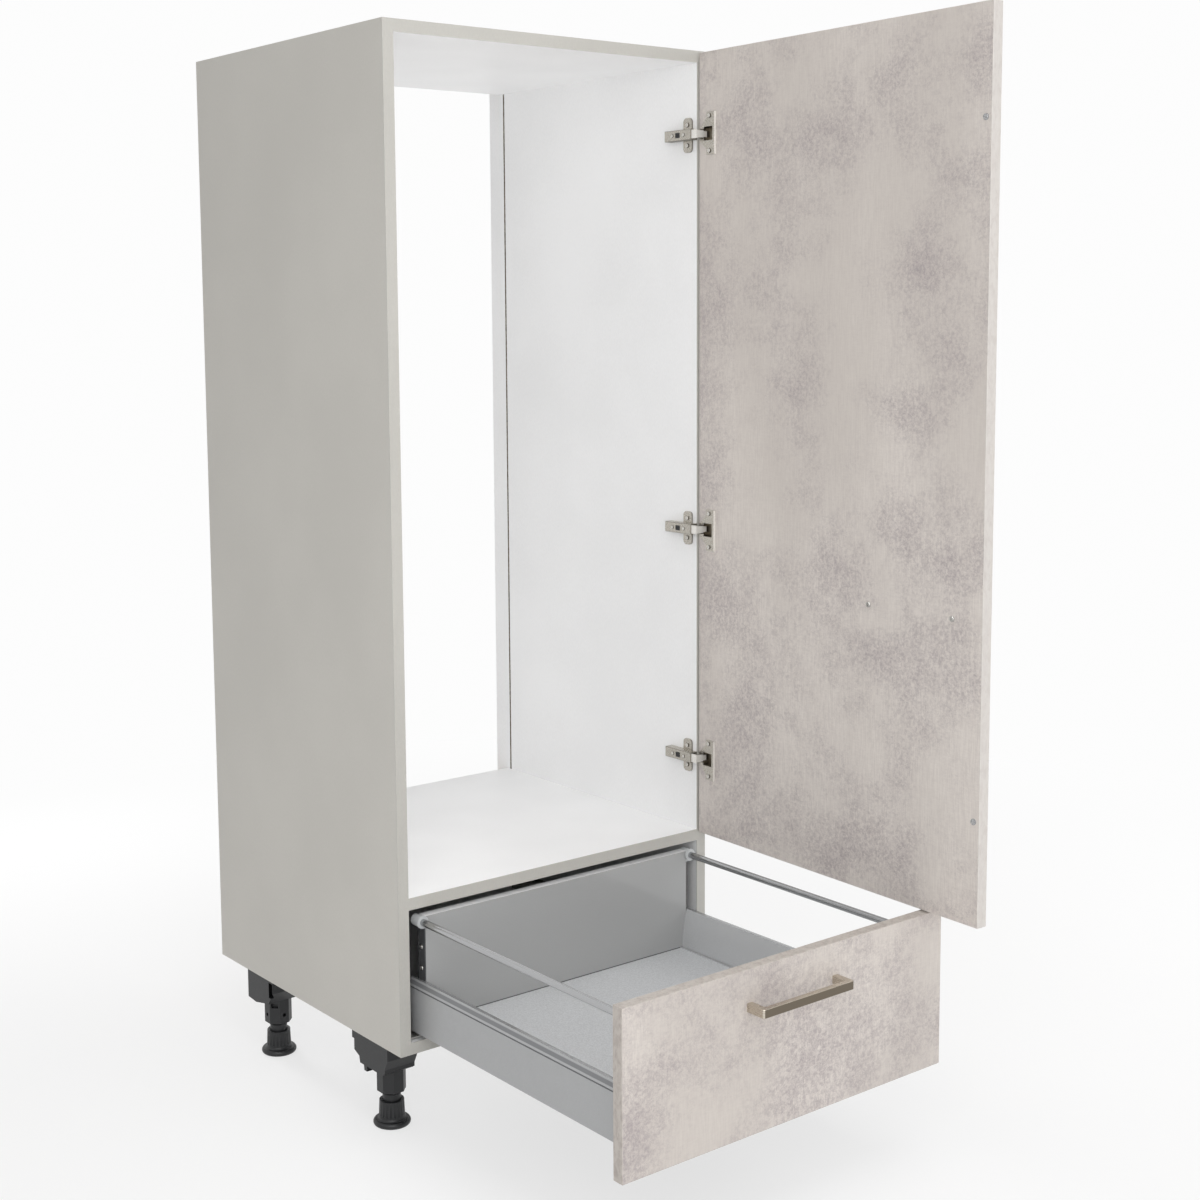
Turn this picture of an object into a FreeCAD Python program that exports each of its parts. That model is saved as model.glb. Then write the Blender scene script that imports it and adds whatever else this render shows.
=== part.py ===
import FreeCAD, Part
import math
import os

# Fridge housing unit: a tall carcass on four legs, with a door hinged on the right and one drawer
# under the fridge niche. The rest pose has the door and the drawer open.
# Working frame: x to the right from mid width, y to the back from the carcass front,
# z up from the underside of the carcass. All lengths are millimetres.

# Carcass boards
CARCASS_WIDTH = 600.0
CARCASS_DEPTH = 560.0
CARCASS_HEIGHT = 1490.0
BOARD = 18.0
SHELF_TOP = 237.0
SHELF_DEPTH = 527.0
BAND = 1.0
GROOVE_SETBACK = 515.0
GROOVE_DEPTH = 6.0
BACK_SHEET = 4.0

# Joinery inside the boards
DOWEL_RADIUS = 4.0
DOWEL_IN_SHELF = 20.0
DOWEL_IN_SIDE = 10.0
DOWEL_SETBACKS = (75.0, 265.0, 455.0)
CAM_RADIUS = 7.5
CAM_DEPTH = 12.5
CAM_INSET = 34.0
CAM_BOLT_RADIUS = 3.0
CAM_SETBACKS = (150.0, 350.0)
CAM_SLOT_WIDTH = 1.6
CAM_SLOT_DEPTH = 2.0

# Door and drawer front
FRONT_THICKNESS = 18.0
FRONT_SIDE_REVEAL = 2.0
FRONT_TOP_REVEAL = 3.0
FRONT_GAP = 3.0
FRONT_STANDOFF = 3.0
FRONT_EDGE_RADIUS = 1.0
DRAWER_FRONT_HEIGHT = 230.0
DOOR_OPEN = 88.0

# Hinges: the pivot lies inside the cup, in the door's thickness
HINGE_END_DISTANCE = 126.0
HINGE_MIDDLE_HEIGHT = 502.0
PIVOT_FROM_EDGE = 7.2
PIVOT_DEPTH = 7.5
PIN_RADIUS = 1.0
PIN_CLEARANCE = 0.05
CUP_RADIUS = 17.5
CUP_WALL = 0.7
CUP_FLOOR = 0.8
CUP_DEPTH = 12.5
CUP_EDGE_DISTANCE = 3.0
FLANGE_THICKNESS = 1.2
FLANGE_HALF_HEIGHT = 33.0
FLANGE_FAR_EDGE = 40.0
FLANGE_WING_EDGE = 19.0
FLANGE_NEAR_EDGE = 2.2
FLANGE_NECK_HALF = 8.0
FLANGE_SHOULDER_HALF = 24.0
FLANGE_SLOT_HALF = 10.7
FLANGE_SLOT_NEAR = 12.0
FLANGE_SLOT_FAR = 33.0
FLANGE_GATE_HALF = 7.4
FLANGE_GATE_NEAR = 4.0
FLANGE_LIP = 1.6
FLANGE_LIP_HEIGHT = 3.6
CUP_SCREW_HALF_SPACING = 27.0
CUP_SCREW_FROM_EDGE = 26.0
EAR_HALF_GAP = 4.9
EAR_WIDTH = 4.2
EAR_REACH = 3.0
EYE_RADIUS = 1.9
EYE_HALF_WIDTH = 4.5
LINK_THICKNESS = 1.8
LINK_HALF_WIDTH = 6.8
LINK_FOOT_HALF_WIDTH = 5.6
LINK_NECK = 6.0
LINK_IN_ARM = 12.0
ARM_HEIGHT = 14.0
ARM_HALF_WIDTH = 8.5
ARM_WALL = 1.5
ARM_FRONT = 0.0
ARM_LENGTH = 62.0
ARM_WINDOW = 6.0
ARM_WINDOW_SETBACK = 31.0
ADJUSTER_SETBACKS = (17.0, 44.0)
ADJUSTER_RADIUS = 3.0
ADJUSTER_DEPTH = 6.0
ADJUSTER_HEAD_HEIGHT = 0.8
PLATE_THICKNESS = 2.5
PLATE_SCREW_SETBACK = 20.0
PLATE_SCREW_SPACING = 32.0
PLATE_WING_HALF_SPAN = 27.0
PLATE_WING_WIDTH = 20.0
PLATE_RAIL_HALF_WIDTH = 5.5

# Screws
CUP_SCREW_LENGTH = 10.0
PLATE_SCREW_LENGTH = 12.0
SMALL_HEAD_RADIUS = 3.6
SMALL_HEAD_HEIGHT = 1.6
SMALL_SHANK_RADIUS = 1.9
HANDLE_HEAD_RADIUS = 4.2
HANDLE_HEAD_HEIGHT = 2.2
HANDLE_SHANK_RADIUS = 2.0
HANDLE_SCREW_BITE = 8.0
CROSS_WIDTH = 0.9
CROSS_SHARE = 0.62

# Bow handles
HANDLE_PITCH = 160.0
HANDLE_REACH = 32.0
HANDLE_BAR = 9.0
HANDLE_FOOT = 10.0
HANDLE_HEIGHT = 12.0
HANDLE_CORNER = 4.0
HANDLE_INNER_CORNER = 2.0
HANDLE_EDGE = 0.8
DRAWER_HANDLE_BELOW_TOP = 52.0
DOOR_HANDLE_ABOVE_BOTTOM = 427.0
DOOR_HANDLE_FROM_FREE_EDGE = 55.0

# Door bumpers
BUMPER_RADIUS = 4.5
BUMPER_HEIGHT = 2.4
BUMPER_FROM_FREE_EDGE = 10.0
BUMPER_FROM_END = 150.0

# Drawer box
SIDE_GAP = 13.0
SIDE_LIFT = 11.0
SIDE_LENGTH = 484.0
SIDE_TAIL = 28.0
SIDE_HEIGHT = 79.0
SIDE_SHOULDER = 68.0
SIDE_LINE = 0.8
SIDE_WALL = 1.5
SIDE_FOOT_WIDTH = 21.0
SIDE_TOP_START = 6.0
SIDE_TOP_END = 12.0
SIDE_BOW = 2.3
SIDE_LIP = 5.0
SIDE_LIP_HEIGHT = 1.2
BOTTOM_THICKNESS = 16.0
BACK_THICKNESS = 16.0
BACK_HEIGHT = 177.0
BACK_END_GAP = 26.5
BRACKET_THICKNESS = 2.0
BRACKET_HEIGHT = 80.0
BRACKET_DROP = 34.0
BRACKET_SCREW_HEIGHTS = (18.0, 50.0)
BRACKET_SCREW_LENGTH = 14.0
FRONT_BRACKET_LENGTH = 25.0
FRONT_BRACKET_WIDTH = 10.5
FRONT_BRACKET_LOW = 37.0
FRONT_BRACKET_HIGH = 63.0
PEG_RADIUS = 4.0
PEG_LENGTH = 11.0
RAIL_RADIUS = 5.2
RAIL_WALL = 1.0
RAIL_OFFSET = 7.0
RAIL_HEIGHT = 170.0
RAIL_IN_FRONT = 8.0
RAIL_IN_HOLDER = 12.0
HOLDER_RADIUS = 8.6
HOLDER_LENGTH = 20.0
HOLDER_BASE = 6.0
HOLDER_LIP = 3.0
HOLDER_LIP_RADIUS = 9.6

# Drawer runners: a fixed rail, a middle member and a channel in the drawer side
RUNNER_SETBACK = 8.0
RUNNER_SHORTER_BY = 4.0
RUNNER_PLATE = 1.5
RUNNER_PLATE_HEIGHT = 26.0
RUNNER_LIFT = 2.0
RUNNER_WEB = 2.0
RUNNER_CENTRE = 8.0
RUNNER_NECK_WIDTH = 2.0
RUNNER_HEAD_WIDTH = 5.0
RUNNER_HEAD_HEIGHT = 3.0
RUNNER_HEAD_LEVEL = 25.0
RUNNER_PLAY = 0.3
MID_WIDTH = 9.0
MID_UNDERSIDE = 16.0
MID_TOP = 32.0
MID_NECK_HEIGHT = 4.0
CHANNEL_ROOF = 5.0
CHANNEL_WIDTH = 11.0
RUNNER_SCREW_SETBACKS = (29.0, 221.0, 413.0)
RUNNER_SCREW_HEIGHT = 16.0

# Legs
LEG_HEIGHT = 135.0
LEG_INSET = 30.4
LEG_FRONT_SETBACK = 76.0
LEG_REAR_SETBACK = 424.0
SOCKET_PLATE = 4.0
SOCKET_PLATE_INWARD = 46.0
SOCKET_OUTWARD = 29.0
SOCKET_INWARD = 24.0
SOCKET_NOTCH_WIDTH = 9.0
SOCKET_NOTCH_DEPTH = 30.0
SOCKET_SCREW_INWARD = 36.0
SOCKET_SCREW_PLACES = (-28.0, -6.0, 16.0, 38.0)
SOCKET_SCREW_LENGTH = 13.0
TONGUE_LENGTH = 94.0
TONGUE_WIDTH = 22.0
TONGUE_LUG = 16.0
TONGUE_LUG_DEPTH = 27.0
TUBE_ACROSS_FLATS = 41.0
TUBE_DEPTH = 81.0
TUBE_TAPER = 5.0
NECK_RADIUS = 14.0
NECK_LENGTH = 15.0
TUBE_WINDOW_WIDTH = 12.0
TUBE_WINDOW_HEIGHT = 8.0
TUBE_WINDOW_LEVEL = 50.0
TUBE_HOLE_RADIUS = 3.0
TUBE_HOLE_LEVEL = 67.0
TUBE_WINDOW_DEPTH = 6.0
STEM_RADIUS = 9.0
STEM_CLEARANCE = 0.05
STEM_HEIGHT = 75.0
STEM_ROOM = 14.0
FOOT_RADIUS = 28.5
FOOT_RIM = 9.0
FOOT_EDGE = 3.0
FLARE_HEIGHT = 14.2
FLARE_SAG = 1.5
COLLAR_HEIGHT = 38.7
COLLAR_BOTTOM_RADIUS = 19.8
COLLAR_TOP_RADIUS = 18.8
COLLAR_BORE_RADIUS = 14.8
COLLAR_BORE_FLOOR = 20.0
FLUTE_COUNT = 20
FLUTE_RADIUS = 1.3

# Leg sockets seen from the side: (place behind the leg axis, height), from the front edge to the rear edge
FRONT_SOCKET_OUTLINE = (
    (-36.0, 0.0), (-36.0, -20.0), (-28.0, -36.0), (-28.0, -42.0), (-22.0, -46.0), (22.0, -46.0),
    (22.0, -54.0), (30.0, -54.0), (31.0, -46.0), (42.0, -46.0), (44.0, -36.0), (58.0, -30.0), (58.0, 0.0),
)
REAR_SOCKET_OUTLINE = (
    (-36.0, 0.0), (-36.0, -20.0), (-21.0, -41.0), (21.0, -50.0), (48.0, -48.0), (48.0, 0.0),
)
FRONT_LEG_FACING = 45.0
REAR_LEG_FACING = 225.0

# Places worked out from the driving sizes
HALF_WIDTH = CARCASS_WIDTH / 2
INNER_X = HALF_WIDTH - BOARD
FRONT_HALF = HALF_WIDTH - FRONT_SIDE_REVEAL
FRONT_INNER_Y = -FRONT_STANDOFF
FRONT_OUTER_Y = FRONT_INNER_Y - FRONT_THICKNESS
DOOR_BOTTOM = DRAWER_FRONT_HEIGHT + FRONT_GAP
DOOR_TOP = CARCASS_HEIGHT - FRONT_TOP_REVEAL
PIVOT_X = FRONT_HALF - PIVOT_FROM_EDGE
PIVOT_Y = FRONT_INNER_Y - PIVOT_DEPTH
CUP_X = FRONT_HALF - CUP_EDGE_DISTANCE - CUP_RADIUS
SIDE_X = -INNER_X + SIDE_GAP
SIDE_Z = BOARD + SIDE_LIFT
SIDE_REAR_Y = FRONT_INNER_Y + SIDE_LENGTH
DRAWER_OUT = SIDE_LENGTH
BACK_REAR_Y = SIDE_REAR_Y + BACK_THICKNESS
BACK_HALF = INNER_X - BACK_END_GAP
RAIL_X = SIDE_X + RAIL_OFFSET
RAIL_Z = SIDE_Z + RAIL_HEIGHT
BRACKET_X = -BACK_HALF - BRACKET_THICKNESS
BRACKET_Z = SIDE_Z + SIDE_HEIGHT
HOLDER_Z = BRACKET_Z + BRACKET_HEIGHT
RUNNER_Z = BOARD + RUNNER_LIFT
RUNNER_X = SIDE_X + RUNNER_CENTRE
RUNNER_SPAN = (RUNNER_SETBACK, RUNNER_SETBACK + SIDE_LENGTH - RUNNER_SHORTER_BY)
RAIL_HEAD_Z = RUNNER_Z + RUNNER_HEAD_LEVEL
MID_TOP_Z = RUNNER_Z + MID_TOP
MID_HEAD_Z = MID_TOP_Z + MID_NECK_HEIGHT
LEG_X = HALF_WIDTH - LEG_INSET
HINGES = {
    "top": DOOR_TOP - HINGE_END_DISTANCE,
    "middle": DOOR_BOTTOM + HINGE_MIDDLE_HEIGHT,
    "bottom": DOOR_BOTTOM + HINGE_END_DISTANCE,
}
LEGS = {
    "front_left": (-LEG_X, LEG_FRONT_SETBACK),
    "front_right": (LEG_X, LEG_FRONT_SETBACK),
    "rear_left": (-LEG_X, LEG_REAR_SETBACK),
    "rear_right": (LEG_X, LEG_REAR_SETBACK),
}
V = FreeCAD.Vector
RIGHT = V(1, 0, 0)
BACKWARD = V(0, 1, 0)
UP = V(0, 0, 1)


# Shape helpers
def box(low, high):
    return Part.makeBox(high[0] - low[0], high[1] - low[1], high[2] - low[2], V(*low))


def rod(radius, start, end):
    start = V(*start)
    axis = V(*end) - start
    return Part.makeCylinder(radius, axis.Length, start, axis)


def prism(points, travel):
    corners = [V(*point) for point in points]
    face = Part.Face(Part.makePolygon(corners + corners[:1]))
    return face.extrude(travel)


def fuse(shapes):
    return shapes[0].multiFuse(shapes[1:]).removeSplitter()


def group(shapes):
    return Part.makeCompound(shapes)


def mirrored(shape):
    return shape.mirror(V(0, 0, 0), RIGHT)


def cross_recess(radius, depth):
    reach = radius * CROSS_SHARE
    half = CROSS_WIDTH / 2
    bars = [
        box((-reach, -half, -depth), (reach, half, 0)),
        box((-half, -reach, -depth), (half, reach, 0)),
    ]
    return fuse(bars)


def screw(seat, into, head_radius, head_height, shank_radius, length):
    """A cross-head screw whose head sits on the point seat and whose shank runs along into."""
    rim = Part.makeCylinder(head_radius, head_height / 2)
    crown_radius = (head_radius + head_radius * CROSS_SHARE) / 2
    dome = Part.makeCone(head_radius, crown_radius, head_height / 2, V(0, 0, head_height / 2))
    shank = Part.makeCylinder(shank_radius, length, V(0, 0, -length))
    recess = cross_recess(head_radius, head_height / 2)
    recess.translate(V(0, 0, head_height))
    body = fuse([shank, rim, dome]).cut(recess)
    body.Placement = FreeCAD.Placement(V(*seat), FreeCAD.Rotation(V(0, 0, -1), V(*into)))
    return body


def small_screw(seat, into, length):
    return screw(seat, into, SMALL_HEAD_RADIUS, SMALL_HEAD_HEIGHT, SMALL_SHANK_RADIUS, length)


# Carcass
def shelf_levels():
    return {"base_panel": 0.0, "fridge_shelf": SHELF_TOP - BOARD, "top_panel": CARCASS_HEIGHT - BOARD}


def dowels():
    pins = []
    for level in shelf_levels().values():
        z = level + BOARD / 2
        for side in (-1, 1):
            for y in DOWEL_SETBACKS:
                start = side * (INNER_X - DOWEL_IN_SHELF)
                end = side * (INNER_X + DOWEL_IN_SIDE)
                pins.append(rod(DOWEL_RADIUS, (start, y, z), (end, y, z)))
    return pins


def cam_fittings():
    """Cam locks sunk in the hidden face of each board, with the bolts that they pull on."""
    locks = []
    bolts = []
    for name, level in shelf_levels().items():
        upward = name == "top_panel"
        face = level + BOARD if upward else level
        inward = -1 if upward else 1
        for side in (-1, 1):
            for y in CAM_SETBACKS:
                x = side * (INNER_X - CAM_INSET)
                lock = rod(CAM_RADIUS, (x, y, face), (x, y, face + inward * CAM_DEPTH))
                slot_low = min(face, face + inward * CAM_SLOT_DEPTH)
                slot_high = max(face, face + inward * CAM_SLOT_DEPTH)
                slot = box(
                    (x - CAM_RADIUS / 2, y - CAM_SLOT_WIDTH / 2, slot_low),
                    (x + CAM_RADIUS / 2, y + CAM_SLOT_WIDTH / 2, slot_high),
                )
                z = level + BOARD / 2
                bolt = rod(CAM_BOLT_RADIUS, (x, y, z), (side * (INNER_X + DOWEL_IN_SIDE), y, z))
                bolts.append(bolt.cut(lock))
                locks.append(lock.cut(slot))
    return locks, bolts


def cam_bores():
    bores = []
    for name, level in shelf_levels().items():
        upward = name == "top_panel"
        face = level + BOARD if upward else level
        inward = -1 if upward else 1
        for side in (-1, 1):
            for y in CAM_SETBACKS:
                x = side * (INNER_X - CAM_INSET)
                bores.append(rod(CAM_RADIUS, (x, y, face), (x, y, face + inward * CAM_DEPTH)))
    return bores


def side_panel_left():
    panel = box((-HALF_WIDTH, BAND, 0), (-INNER_X, CARCASS_DEPTH, CARCASS_HEIGHT))
    groove = box(
        (-INNER_X - GROOVE_DEPTH, GROOVE_SETBACK, 0),
        (-INNER_X, GROOVE_SETBACK + BACK_SHEET, CARCASS_HEIGHT),
    )
    return panel.cut(groove)


def flat_board(level):
    return box((-INNER_X, BAND, level), (INNER_X, SHELF_DEPTH, level + BOARD))


def edge_bands():
    strips = [
        box((-HALF_WIDTH, 0, 0), (-INNER_X, BAND, CARCASS_HEIGHT)),
        box((INNER_X, 0, 0), (HALF_WIDTH, BAND, CARCASS_HEIGHT)),
    ]
    for level in shelf_levels().values():
        strips.append(box((-INNER_X, 0, level), (INNER_X, BAND, level + BOARD)))
    return strips


def drawer_bay_back():
    reach = INNER_X + GROOVE_DEPTH
    return box(
        (-reach, GROOVE_SETBACK, BOARD),
        (reach, GROOVE_SETBACK + BACK_SHEET, SHELF_TOP - BOARD),
    )


# Hinges, drawn for the closed door
def hinge_plate(z):
    seat = INNER_X - PLATE_THICKNESS
    arm_end = ARM_FRONT + ARM_LENGTH
    wing_low = PLATE_SCREW_SETBACK - PLATE_WING_WIDTH / 2
    wing_high = PLATE_SCREW_SETBACK + PLATE_WING_WIDTH / 2
    wing = box((seat, wing_low, z - PLATE_WING_HALF_SPAN), (INNER_X, wing_high, z + PLATE_WING_HALF_SPAN))
    corners = [edge for edge in wing.Edges if abs(edge.tangentAt(edge.FirstParameter).x) > 0.5]
    wing = wing.makeFillet(PLATE_WING_WIDTH / 3, corners)
    strip = box((seat, ARM_FRONT, z - ARM_HALF_WIDTH), (INNER_X, arm_end, z + ARM_HALF_WIDTH))
    rail_top = INNER_X - ARM_HEIGHT + ARM_WALL
    rail_front = ARM_FRONT + LINK_IN_ARM
    rail = box(
        (rail_top, rail_front, z - PLATE_RAIL_HALF_WIDTH),
        (seat, arm_end, z + PLATE_RAIL_HALF_WIDTH),
    )
    return fuse([wing, strip, rail])


def hinge_arm(z):
    outer_x = INNER_X - ARM_HEIGHT
    arm_end = ARM_FRONT + ARM_LENGTH
    body = box(
        (outer_x, ARM_FRONT, z - ARM_HALF_WIDTH),
        (INNER_X - PLATE_THICKNESS, arm_end, z + ARM_HALF_WIDTH),
    )
    long_edges = [
        edge for edge in body.Edges
        if abs(edge.tangentAt(edge.FirstParameter).y) > 0.5 and edge.CenterOfMass.x < outer_x + ARM_WALL
    ]
    body = body.makeFillet(ARM_WALL, long_edges)
    hollow = box(
        (outer_x + ARM_WALL, ARM_FRONT, z - ARM_HALF_WIDTH + ARM_WALL),
        (INNER_X, arm_end, z + ARM_HALF_WIDTH - ARM_WALL),
    )
    window_y = ARM_FRONT + ARM_WINDOW_SETBACK
    window = box(
        (outer_x, window_y - ARM_WINDOW / 2, z - ARM_WINDOW / 2),
        (outer_x + ARM_WALL, window_y + ARM_WINDOW / 2, z + ARM_WINDOW / 2),
    )
    return body.cut([hollow, window])


def hinge_link(z):
    """A hooked link: its leg sits in the arm, its foot reaches into the cup and ends in the pin eye."""
    leg_x = INNER_X - ARM_HEIGHT + ARM_WALL
    foot_y = PIVOT_Y - EYE_RADIUS
    leg = box(
        (leg_x, foot_y, z - LINK_HALF_WIDTH),
        (leg_x + LINK_THICKNESS, ARM_FRONT + LINK_IN_ARM, z + LINK_HALF_WIDTH),
    )
    foot = box(
        (leg_x, foot_y, z - LINK_FOOT_HALF_WIDTH),
        (PIVOT_X - LINK_NECK, foot_y + LINK_THICKNESS, z + LINK_FOOT_HALF_WIDTH),
    )
    neck = box(
        (leg_x, foot_y, z - EYE_HALF_WIDTH),
        (PIVOT_X, foot_y + LINK_THICKNESS, z + EYE_HALF_WIDTH),
    )
    eye = rod(EYE_RADIUS, (PIVOT_X, PIVOT_Y, z - EYE_HALF_WIDTH), (PIVOT_X, PIVOT_Y, z + EYE_HALF_WIDTH))
    bore = rod(
        PIN_RADIUS + PIN_CLEARANCE,
        (PIVOT_X, PIVOT_Y, z - EYE_HALF_WIDTH),
        (PIVOT_X, PIVOT_Y, z + EYE_HALF_WIDTH),
    )
    return fuse([leg, foot, neck, eye]).cut(bore)


def cup_bore(z):
    return rod(CUP_RADIUS, (CUP_X, FRONT_INNER_Y, z), (CUP_X, FRONT_INNER_Y - CUP_DEPTH, z))


def flange_outline(z):
    half_outline = [
        (FLANGE_FAR_EDGE, FLANGE_HALF_HEIGHT),
        (FLANGE_WING_EDGE, FLANGE_HALF_HEIGHT),
        (FLANGE_WING_EDGE, FLANGE_SHOULDER_HALF),
        (FLANGE_NEAR_EDGE, FLANGE_NECK_HALF),
    ]
    upper = [(FRONT_HALF - u, FRONT_INNER_Y, z + h) for u, h in half_outline]
    lower = [(FRONT_HALF - u, FRONT_INNER_Y, z - h) for u, h in reversed(half_outline)]
    return upper + lower


def flange_opening(z):
    """The slot in the flange that the link leaves the cup through, with a narrower gate over the pin."""
    top = FRONT_INNER_Y + FLANGE_THICKNESS
    slot_near = FRONT_HALF - FLANGE_SLOT_NEAR
    slot = box(
        (FRONT_HALF - FLANGE_SLOT_FAR, FRONT_INNER_Y, z - FLANGE_SLOT_HALF),
        (slot_near, top, z + FLANGE_SLOT_HALF),
    )
    gate = box(
        (slot_near, FRONT_INNER_Y, z - FLANGE_GATE_HALF),
        (FRONT_HALF - FLANGE_GATE_NEAR, top, z + FLANGE_GATE_HALF),
    )
    return fuse([slot, gate])


def hinge_cup(z):
    flange = prism(flange_outline(z), V(0, FLANGE_THICKNESS, 0))
    far_x = FRONT_HALF - FLANGE_FAR_EDGE
    lip = box(
        (far_x, FRONT_INNER_Y, z - FLANGE_HALF_HEIGHT),
        (far_x + FLANGE_LIP, FRONT_INNER_Y + FLANGE_LIP_HEIGHT, z + FLANGE_HALF_HEIGHT),
    )
    hollow_radius = CUP_RADIUS - CUP_WALL
    hollow_floor = FRONT_INNER_Y - CUP_DEPTH + CUP_FLOOR
    hollow = rod(hollow_radius, (CUP_X, hollow_floor, z), (CUP_X, FRONT_INNER_Y, z))
    shell = fuse([cup_bore(z), flange, lip]).cut([hollow, flange_opening(z)])
    ears = []
    for side in (-1, 1):
        low = min(side * EAR_HALF_GAP, side * (EAR_HALF_GAP + EAR_WIDTH))
        ear = box(
            (PIVOT_X - EAR_REACH, hollow_floor, z + low),
            (PIVOT_X + EAR_REACH, PIVOT_Y + EAR_REACH, z + low + EAR_WIDTH),
        )
        ears.append(ear.common(cup_bore(z)))
    pin_hole = hinge_pin(z)
    return fuse([shell] + ears).cut(pin_hole)


def hinge_pin(z):
    half = EAR_HALF_GAP + EAR_WIDTH
    return rod(PIN_RADIUS, (PIVOT_X, PIVOT_Y, z - half), (PIVOT_X, PIVOT_Y, z + half))


def cup_screws(z):
    x = FRONT_HALF - CUP_SCREW_FROM_EDGE
    seat_y = FRONT_INNER_Y + FLANGE_THICKNESS
    screws = []
    for side in (-1, 1):
        seat = (x, seat_y, z + side * CUP_SCREW_HALF_SPACING)
        screws.append(small_screw(seat, (0, -1, 0), CUP_SCREW_LENGTH))
    return screws


def plate_screws(z):
    screws = []
    for side in (-1, 1):
        seat = (INNER_X - PLATE_THICKNESS, PLATE_SCREW_SETBACK, z + side * PLATE_SCREW_SPACING / 2)
        screws.append(small_screw(seat, (1, 0, 0), PLATE_SCREW_LENGTH))
    return screws


def adjusting_screws(z):
    screws = []
    for setback in ADJUSTER_SETBACKS:
        seat = (INNER_X - ARM_HEIGHT, ARM_FRONT + setback, z)
        shank = (SMALL_SHANK_RADIUS, ADJUSTER_DEPTH)
        screws.append(screw(seat, (1, 0, 0), ADJUSTER_RADIUS, ADJUSTER_HEAD_HEIGHT, *shank))
    return screws


# Handles, bumpers and fronts
def bow_handle():
    """A bow handle along x, centred on the origin, standing on the plane y = 0 towards -y."""
    half = HANDLE_PITCH / 2 + HANDLE_FOOT / 2
    inner = HANDLE_PITCH / 2 - HANDLE_FOOT / 2
    low = -HANDLE_HEIGHT / 2
    high = HANDLE_HEIGHT / 2
    block = box((-half, -HANDLE_REACH, low), (half, 0, high))
    outer_edges = [
        edge for edge in block.Edges
        if abs(edge.tangentAt(edge.FirstParameter).z) > 0.5 and edge.CenterOfMass.y < -HANDLE_REACH / 2
    ]
    block = block.makeFillet(HANDLE_CORNER, outer_edges)
    gap = box((-inner, -HANDLE_REACH + HANDLE_BAR, low), (inner, 0, high))
    gap_edges = [
        edge for edge in gap.Edges
        if abs(edge.tangentAt(edge.FirstParameter).z) > 0.5 and edge.CenterOfMass.y < -HANDLE_REACH / 2
    ]
    gap = gap.makeFillet(HANDLE_INNER_CORNER, gap_edges)
    bow = block.cut(gap)
    rim = [
        edge for edge in bow.Edges
        if abs(edge.CenterOfMass.z) > high - HANDLE_EDGE and edge.CenterOfMass.y < -HANDLE_EDGE
    ]
    return bow.makeFillet(HANDLE_EDGE, rim)


def handle_screw(x, z):
    seat = (x, FRONT_INNER_Y, z)
    length = FRONT_THICKNESS + HANDLE_SCREW_BITE
    return screw(seat, (0, -1, 0), HANDLE_HEAD_RADIUS, HANDLE_HEAD_HEIGHT, HANDLE_SHANK_RADIUS, length)


def handle_set(x, z):
    screws = [handle_screw(x - HANDLE_PITCH / 2, z), handle_screw(x + HANDLE_PITCH / 2, z)]
    handle = bow_handle().translated(V(x, FRONT_OUTER_Y, z)).cut(screws)
    return handle, screws


def front_board(low, high):
    board = box((-FRONT_HALF, FRONT_OUTER_Y, low), (FRONT_HALF, FRONT_INNER_Y, high))
    return board.makeFillet(FRONT_EDGE_RADIUS, board.Edges)


def bumpers():
    x = -FRONT_HALF + BUMPER_FROM_FREE_EDGE
    domes = []
    for z in (DOOR_BOTTOM + BUMPER_FROM_END, DOOR_TOP - BUMPER_FROM_END):
        dome = rod(BUMPER_RADIUS, (x, FRONT_INNER_Y, z), (x, FRONT_INNER_Y + BUMPER_HEIGHT, z))
        top_edge = [edge for edge in dome.Edges if edge.CenterOfMass.y > FRONT_INNER_Y + BUMPER_HEIGHT * 0.9]
        domes.append(dome.makeFillet(BUMPER_HEIGHT * 0.6, top_edge))
    return domes


# Drawer box, drawn for the closed drawer on the left side
def runner_bar(span, underside, top, width):
    """A straight bar on the runner's centre line, over the (front, rear) span."""
    half = width / 2
    return box((RUNNER_X - half, span[0], underside), (RUNNER_X + half, span[1], top))


def runner_tee(span, foot, head_low):
    """The T-shaped track that the next member rides on."""
    neck = runner_bar(span, foot, head_low, RUNNER_NECK_WIDTH)
    head = runner_bar(span, head_low, head_low + RUNNER_HEAD_HEIGHT, RUNNER_HEAD_WIDTH)
    return [neck, head]


def runner_slot(span, mouth, head_low):
    """The room that a T-shaped track needs, from the mouth level up."""
    head_top = head_low + RUNNER_HEAD_HEIGHT
    throat = runner_bar(span, mouth, head_low, RUNNER_NECK_WIDTH + 2 * RUNNER_PLAY)
    room_width = RUNNER_HEAD_WIDTH + 2 * RUNNER_PLAY
    room = runner_bar(span, head_low - RUNNER_PLAY, head_top + RUNNER_PLAY, room_width)
    return fuse([throat, room])


def runner_rail_left():
    front, rear = RUNNER_SPAN
    plate = box(
        (-INNER_X, front, RUNNER_Z),
        (-INNER_X + RUNNER_PLATE, rear, RUNNER_Z + RUNNER_PLATE_HEIGHT),
    )
    web = box((-INNER_X, front, RUNNER_Z), (RUNNER_X + RUNNER_NECK_WIDTH / 2, rear, RUNNER_Z + RUNNER_WEB))
    return fuse([plate, web] + runner_tee(RUNNER_SPAN, RUNNER_Z, RAIL_HEAD_Z))


def runner_mid_left():
    body = runner_bar(RUNNER_SPAN, RUNNER_Z + MID_UNDERSIDE, MID_TOP_Z, MID_WIDTH)
    slot = runner_slot(RUNNER_SPAN, RUNNER_Z + MID_UNDERSIDE, RAIL_HEAD_Z)
    return fuse([body.cut(slot)] + runner_tee(RUNNER_SPAN, MID_TOP_Z, MID_HEAD_Z))


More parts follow.
